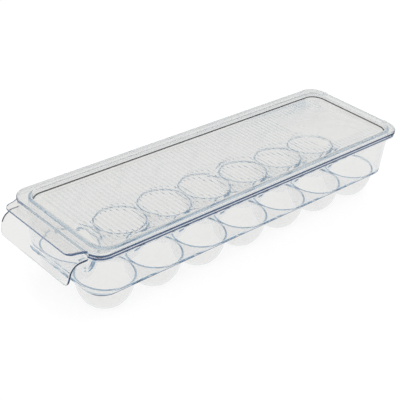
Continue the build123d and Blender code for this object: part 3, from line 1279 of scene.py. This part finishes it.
@dataclass
class FingerTab:
    """Flat tab at the handle end of the lid, with S-curved shoulders.

    Attributes:
        tip_half_width: half width at the tip.
        tip_corner: length of edge that a rounded corner of the tip takes up.
        shoulder_reach: shoulder beyond the end of the lid.
        shoulder_half_width: half width at the shoulder.
        shoulder_turn: length of edge that the rounded shoulder takes up.
        root_depth: where the shoulder line runs into the lid.
        root_half_width: half width there.
        edge: rounding of the tab's edge.
        strip: width of the strip inside that edge, which takes painted shade at the tab's sides.
        corner_steps: facets of a corner.
        edge_steps: facets of a rounded edge.
        straight: bends of the outline below this many degrees are left out.
        crease: least angle of an edge that is rounded, in degrees.
    """

    tip_half_width: float = 40.5 * MM
    tip_corner: float = 5.2 * MM
    shoulder_reach: float = 2.5 * MM
    shoulder_half_width: float = 43.0 * MM
    shoulder_turn: float = 4.0 * MM
    root_depth: float = 6.0 * MM
    root_half_width: float = 50.0 * MM
    edge: float = 0.4 * MM
    strip: float = 0.7 * MM
    corner_steps: int = 8
    edge_steps: int = 4
    straight: float = 0.5
    crease: float = 60.0

    def outline(self, low: Vector) -> bpy.types.Object:
        """Makes the flat outline of the tab.

        Args:
            low: lowest corner of the tab's space.

        Returns:
            The outline at its underside, open for editing with all of it selected.
        """
        end_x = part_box("lid_rim")[0][0]
        root_x, shoulder_x = end_x + self.root_depth, end_x - self.shoulder_reach
        tab = Bench.sheet(((low[0] + root_x) / 2, 0, low[2]), root_x - low[0], 2 * self.tip_half_width)
        bpy.ops.mesh.bisect(plane_co=(shoulder_x, 0, 0), plane_no=(1, 0, 0))
        for x, half_width in ((shoulder_x, self.shoulder_half_width), (root_x, self.root_half_width)):
            Bench.pick(tab, lambda co: abs(co.x - x) < NEAR)
            bpy.ops.transform.resize(value=(1, half_width / self.tip_half_width, 1),
                                     center_override=(x, 0, low[2]))
        for x, length in ((low[0], self.tip_corner), (shoulder_x, self.shoulder_turn)):
            Bench.pick(tab, lambda co: abs(co.x - x) < NEAR)
            bpy.ops.mesh.bevel(offset=length, segments=self.corner_steps, affect="VERTICES")
        bpy.ops.mesh.select_all(action="SELECT")
        bpy.ops.mesh.dissolve_limited(angle_limit=math.radians(self.straight))
        bpy.ops.mesh.select_all(action="SELECT")
        return tab

    def build(self) -> bpy.types.Object:
        """Makes the tab, with its root set into the band of the lid.

        Returns:
            The closed tab.
        """
        low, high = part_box("lid_finger_tab")
        tab = self.outline(low)
        bpy.ops.mesh.extrude_region_move(TRANSFORM_OT_translate={"value": (0, 0, high[2] - low[2])})
        Bench.close(tab)
        Bench.edit(tab)
        Bench.pick(tab, lambda co: co.z > high[2] - NEAR)
        bpy.ops.mesh.select_mode(type="FACE")
        bpy.ops.mesh.inset(thickness=self.edge + self.strip, depth=0)
        Bench.close(tab)
        Bench.round_off(tab, self.edge, self.edge_steps, self.crease)
        return tab


@dataclass
class Lid:
    """The clear lid: raised band, plug wall, sunk ribbed panel, finger tab and hinge pins.

    Attributes:
        finish: its plastic.
        corner: corner radius of the band.
        plug_corner: corner radius of the sunk panel.
        plug_wall: wall that plugs into the tray, outside the panel.
        slope: how far the band's inner side leans out from the panel to its top.
        foot_share: share of that lean at the turn beside the panel.
        turn: radius between the panel and the band, and at the band's inner top.
        top_turn: radius of the band's outer top edge.
        low_turn: radius of the band's lower edge.
        root_turn: radius between the band's underside and the plug wall.
        plug_turn: radius of the lower edge of the plug wall.
        gap: clearance between the band and the rim of the tray.
        rib_stock: height of the ribs that the frame's panel includes.
        tab_strip: width of the strip of painted shade at each side of the tab's top.
        tab_front: share of a normal across the keeper at which the tab's front edge becomes its side.
        corner_reach: least share both along and across where the corners of the band have painted shade.
        top_reach: the same on the rounded top of those corners.
        steps: facets of a turn.
        small_steps: facets of a small turn.
    """

    finish: ClearPlastic
    corner: float = 13.0 * MM
    plug_corner: float = 12.1 * MM
    plug_wall: float = 1.1 * MM
    slope: float = 1.0 * MM
    foot_share: float = 0.3
    turn: float = 0.8 * MM
    top_turn: float = 1.5 * MM
    low_turn: float = 0.4 * MM
    root_turn: float = 0.4 * MM
    plug_turn: float = 0.6 * MM
    gap: float = 0.1 * MM
    rib_stock: float = 0.4 * MM
    tab_strip: float = 6.5 * MM
    tab_front: float = 0.3
    corner_reach: float = 0.5
    top_reach: float = 0.15
    steps: int = 4
    small_steps: int = 2

    def __post_init__(self) -> None:
        """Reads the lid's outline from the frame."""
        low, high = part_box("lid_rim")
        self.edge = Ring(low[0], high[0], high[1], self.corner, high[2])
        plate_low, plate_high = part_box("lid_panel")
        self.under = plate_low[2]
        self.panel_z = plate_high[2] - self.rib_stock
        self.foot = Ring(plate_low[0], plate_high[0], plate_high[1], self.plug_corner, self.panel_z)
        self.plug = self.foot.inset(-self.plug_wall, self.under)
        self.edge_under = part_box("tray_rim")[1][2] + self.gap
        self.tab_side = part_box("lid_finger_tab")[1][1] - self.tab_strip

    def section(self) -> list[Ring]:
        """Rings round the lid, from the panel's top, over the band, to the panel's underside.

        Returns:
            The rings in order.
        """
        foot = rounded_turn(self.foot.inset(-self.foot_share * self.slope), self.panel_z + self.turn,
                            self.panel_z, self.steps)[::-1]
        band = rounded_turn(self.foot.inset(-self.slope), self.edge.z - self.turn, self.edge.z,
                            self.steps, outward=True)
        top = rounded_turn(self.edge, self.edge.z - self.top_turn, self.edge.z, self.steps)[::-1]
        low = rounded_turn(self.edge, self.edge_under + self.low_turn, self.edge_under, self.small_steps)
        root = rounded_turn(self.plug, self.edge_under - self.root_turn, self.edge_under,
                            self.small_steps, outward=True)[::-1]
        plug = rounded_turn(self.plug, self.under + self.plug_turn, self.under, self.steps)
        return foot + band + top + low + root + plug

    def build(self) -> bpy.types.Object:
        """Makes the whole lid.

        Returns:
            The closed lid.
        """
        skin = Bench.bridge_rings(self.section(), "lid_band")
        lid = Bench.join([skin, Ribs().build(self.foot)], "clear_lid")
        Bench.cap(lid, self.panel_z, self.under)
        Bench.unite(lid, FingerTab().build())
        ears = HingeEars()
        Bench.carve(lid, ears.turning_space(self.edge.half_width))
        for notch in ears.notches():
            Bench.carve(lid, notch)
        for pin in ears.pins():
            Bench.unite(lid, pin)
        Bench.smooth(lid)
        panel = self.foot.inset(self.turn)
        Bench.facet(lid, lambda at, up: self.under < at.z < self.edge_under and not panel.excludes(at))
        Bench.paint_edge_shade(lid, self.marks())
        return lid

    def marks(self) -> list[PaintedEdgeShade]:
        """How deep the painted edge shade is along the band, round the panel, on the tab and on the ribs.

        Returns:
            The marks.
        """
        band_edge, panel_edge = self.edge.inset(self.low_turn), self.foot.inset(-self.slope)
        foot_edge, sunk = self.foot.inset(self.turn), (self.under, self.edge_under)
        return [
            # Painted shade line on the lower edge of the band.
            PaintedEdgeShade(air=0.95, heights=(self.edge_under, self.edge_under + self.low_turn),
                 rise=(-FLAT, FLAT), test=lambda at, up: band_edge.excludes(at) and not under_tab(at)),
            # Painted shade on the two corners of the band that stand at the outline in the camera's view,
            # where the light gathers, up to their rounded top.
            PaintedEdgeShade(air=0.96, inside=0.96, heights=(self.edge_under, self.edge.z - self.top_turn / 2),
                 test=lambda at, up: band_edge.excludes(at) and at_silhouette(up, self.corner_reach)),
            PaintedEdgeShade(air=0.98, heights=(self.edge.z - self.top_turn, self.edge.z - SLACK),
                 rise=(-math.inf, STEEP),
                 test=lambda at, up: band_edge.excludes(at) and at_silhouette(up, self.top_reach)),
            # Painted shade line on the turn between the panel and the band.
            PaintedEdgeShade(air=1.0, heights=(self.panel_z + SLACK, self.panel_z + self.turn),
                 test=lambda at, up: foot_edge.excludes(at) and not panel_edge.excludes(at)),
            # Painted shade on the front edge of the tab, its side edges and the strip beside them on its
            # top.
            PaintedEdgeShade(air=0.85, rise=(-DIAGONAL, DIAGONAL),
                 test=lambda at, up: at.x < self.edge.x_min and abs(up.y) < self.tab_front),
            PaintedEdgeShade(air=0.94, rise=(-FLAT, FLAT),
                 test=lambda at, up: at.x < self.edge.x_min and abs(up.y) >= self.tab_front),
            PaintedEdgeShade(air=0.94, rise=(FLAT, math.inf),
                 test=lambda at, up: at.x < self.edge.x_min and abs(at.y) > self.tab_side),
            # Faint painted shade on the slopes and ends of the ribs.
            PaintedEdgeShade(air=0.14, heights=sunk,
                 test=lambda at, up: abs(up.x) > LEVEL and not foot_edge.excludes(at)),
            PaintedEdgeShade(air=0.16, heights=sunk,
                 test=lambda at, up: abs(up.y) > LEVEL and not foot_edge.excludes(at)),
        ]


# ------------------------------------------------------------------ studio


@dataclass(frozen=True)
class Lamp:
    """A large soft lamp that points at the keeper.

    Attributes:
        name: its name.
        place: where it hangs.
        size: width of its light.
        power: strength in watts.
    """

    name: str
    place: tuple[float, float, float]
    size: float
    power: float

    def build(self) -> None:
        """Hangs the lamp, which is not seen itself in or through the plastic."""
        data = bpy.data.lights.new(self.name, "AREA")
        data.size, data.energy = self.size, self.power
        lamp = bpy.data.objects.new(self.name, data)
        bpy.context.collection.objects.link(lamp)
        lamp.location = self.place
        lamp.rotation_euler = (-Vector(self.place)).to_track_quat("-Z", "Y").to_euler()
        lamp.visible_glossy = lamp.visible_transmission = False


@dataclass
class Studio:
    """Pale floor, soft light and the camera.

    Attributes:
        aim: place that the camera looks at.
        heading: direction of its view from +Y towards +X, in degrees.
        elevation: how steeply it looks down, in degrees.
        roll: turn of the picture, in degrees.
        distance: distance from the camera to its aim.
        lens: focal length in millimetres.
        sensor: width of the sensor in millimetres.
        near: nearest distance that is drawn.
        floor_size: radius of the floor.
        floor_sides: facets of the floor's edge.
        floor_drop: how far the floor lies below the keeper, so that the two do not touch.
        paint: colour of the floor in the light of the lamps.
        shadow: how much of the real shadow shows to the camera.
        through: colour of the floor when it is seen through the plastic.
        white: colour of the floor and of the world to the camera.
        low_sky: rise of a ray, from 0 level to 1 upright, where the sky begins, and the colour there.
        high_sky: rise from which the sky keeps its last colour, and that colour.
        bounces: bounces of a light path, many because the clear walls lie close together.
        lamps: the lamps.
    """

    aim: tuple[float, float, float] = (-53.05 * MM, -37.43 * MM, 70.0 * MM)
    heading: float = 45.36
    elevation: float = 31.17
    roll: float = 5.18
    distance: float = 749.4 * MM
    lens: float = 85.57
    sensor: float = 36.0
    near: float = 0.01
    floor_size: float = 4.0
    floor_sides: int = 96
    floor_drop: float = 0.05 * MM
    paint: Colour = (0.92, 0.92, 0.92)
    shadow: float = 0.1
    through: Colour = (0.885, 0.88, 0.87)
    white: Colour = (1.0, 1.0, 1.0)
    low_sky: tuple[float, Colour] = (0.0, (0.84, 0.85, 0.87))
    high_sky: tuple[float, Colour] = (0.4, (0.88, 0.89, 0.90))
    bounces: int = 128
    lamps: tuple[Lamp, ...] = (Lamp("key", (-0.6, -0.5, 1.4), 1.2, 18.0),
                               Lamp("fill", (0.8, 0.7, 1.2), 1.0, 9.0))

    def camera(self) -> None:
        """Places the camera on its heading, looking down at the keeper."""
        heading, fall, roll = (math.radians(angle) for angle in (self.heading, self.elevation, self.roll))
        forward = Vector((math.sin(heading) * math.cos(fall), math.cos(heading) * math.cos(fall),
                          -math.sin(fall)))
        level = Vector((math.cos(heading), -math.sin(heading), 0))
        right = level * math.cos(roll) + level.cross(forward) * math.sin(roll)
        data = bpy.data.cameras.new("camera")
        data.lens, data.sensor_width, data.clip_start = self.lens, self.sensor, self.near
        camera = bpy.data.objects.new("camera", data)
        bpy.context.collection.objects.link(camera)
        axes = Matrix((right, right.cross(forward), -forward)).transposed().to_4x4()
        camera.matrix_world = Matrix.Translation(Vector(self.aim) - forward * self.distance) @ axes
        bpy.context.scene.camera = camera

    def floor(self) -> None:
        """Lays the floor."""
        Bench.clear()
        bpy.ops.mesh.primitive_circle_add(vertices=self.floor_sides, radius=self.floor_size,
                                          fill_type="NGON", location=(0, 0, -self.floor_drop))
        floor = bpy.context.active_object
        floor.name = floor.data.name = "studio_floor"
        floor.data.materials.append(self.floor_paint())

    def floor_paint(self) -> bpy.types.Material:
        """Paint that is white with a soft shadow to the camera and greyer through the plastic.

        Returns:
            The material.
        """
        material = bpy.data.materials.new("studio_white")
        material.use_nodes = True
        board, nodes = NodeBoard(material.node_tree), material.node_tree.nodes
        nodes.remove(nodes["Principled BSDF"])
        paint = board.add("ShaderNodeBsdfDiffuse", {"Color": (*self.paint, 1.0)})
        white = board.add("ShaderNodeEmission", {"Color": (*self.white, 1.0)})
        through = board.add("ShaderNodeEmission", {"Color": (*self.through, 1.0)})
        ray = board.add("ShaderNodeLightPath")
        bent = board.add("ShaderNodeMath", operation="MAXIMUM")
        seen = board.add("ShaderNodeMath", {1: 1.0 - self.shadow}, operation="MULTIPLY")
        bent_mix, seen_mix = board.add("ShaderNodeMixShader"), board.add("ShaderNodeMixShader")
        board.join((ray.outputs["Is Transmission Ray"], bent.inputs[0]),
                   (ray.outputs["Is Glossy Ray"], bent.inputs[1]),
                   (bent.outputs[0], bent_mix.inputs["Fac"]),
                   (paint.outputs[0], bent_mix.inputs[1]),
                   (through.outputs[0], bent_mix.inputs[2]),
                   (ray.outputs["Is Camera Ray"], seen.inputs[0]),
                   (seen.outputs[0], seen_mix.inputs["Fac"]),
                   (bent_mix.outputs[0], seen_mix.inputs[1]),
                   (white.outputs[0], seen_mix.inputs[2]),
                   (seen_mix.outputs[0], nodes["Material Output"].inputs["Surface"]))
        return material

    def sky(self) -> None:
        """World: white to the camera, and a pale sky that is darker low down for all other rays."""
        world = bpy.data.worlds.new("studio")
        bpy.context.scene.world = world
        world.use_nodes = True
        board = NodeBoard(world.node_tree)
        place, split = board.add("ShaderNodeTexCoord"), board.add("ShaderNodeSeparateXYZ")
        ramp, ray = board.add("ShaderNodeValToRGB"), board.add("ShaderNodeLightPath")
        mix = board.add("ShaderNodeMix", {"B": (*self.white, 1.0)}, data_type="RGBA")
        for stop, (height, colour) in zip(ramp.color_ramp.elements, (self.low_sky, self.high_sky)):
            stop.position, stop.color = height, (*colour, 1.0)
        board.join((place.outputs["Generated"], split.inputs[0]),
                   (split.outputs["Z"], ramp.inputs["Fac"]),
                   (ramp.outputs["Color"], mix.inputs["A"]),
                   (ray.outputs["Is Camera Ray"], mix.inputs["Factor"]),
                   (mix.outputs["Result"], world.node_tree.nodes["Background"].inputs["Color"]))

    def build(self) -> None:
        """Sets up the whole studio."""
        bpy.context.scene.view_settings.view_transform = "Standard"
        paths = bpy.context.scene.cycles
        paths.max_bounces = paths.transmission_bounces = paths.glossy_bounces = self.bounces
        self.camera()
        self.floor()
        self.sky()
        for lamp in self.lamps:
            lamp.build()


def main() -> None:
    """Builds the studio and the keeper in order."""
    logging.basicConfig(level=logging.INFO, format="%(message)s")
    Studio().build()
    bodies = frame["record"]["behaviour"]["bodies"]
    for maker, body, slot in ((Tray(TRAY_PLASTIC), "tray", "clear_tray"),
                              (Lid(LID_PLASTIC), "lid", "clear_lid")):
        piece = maker.build()
        piece.data.materials.clear()
        piece.data.materials.append(maker.finish.build())
        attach(piece, body)
        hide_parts(*bodies[body])
        log.info("%s: %d faces", piece.name, len(piece.data.polygons))


if __name__ == "__main__":
    main()
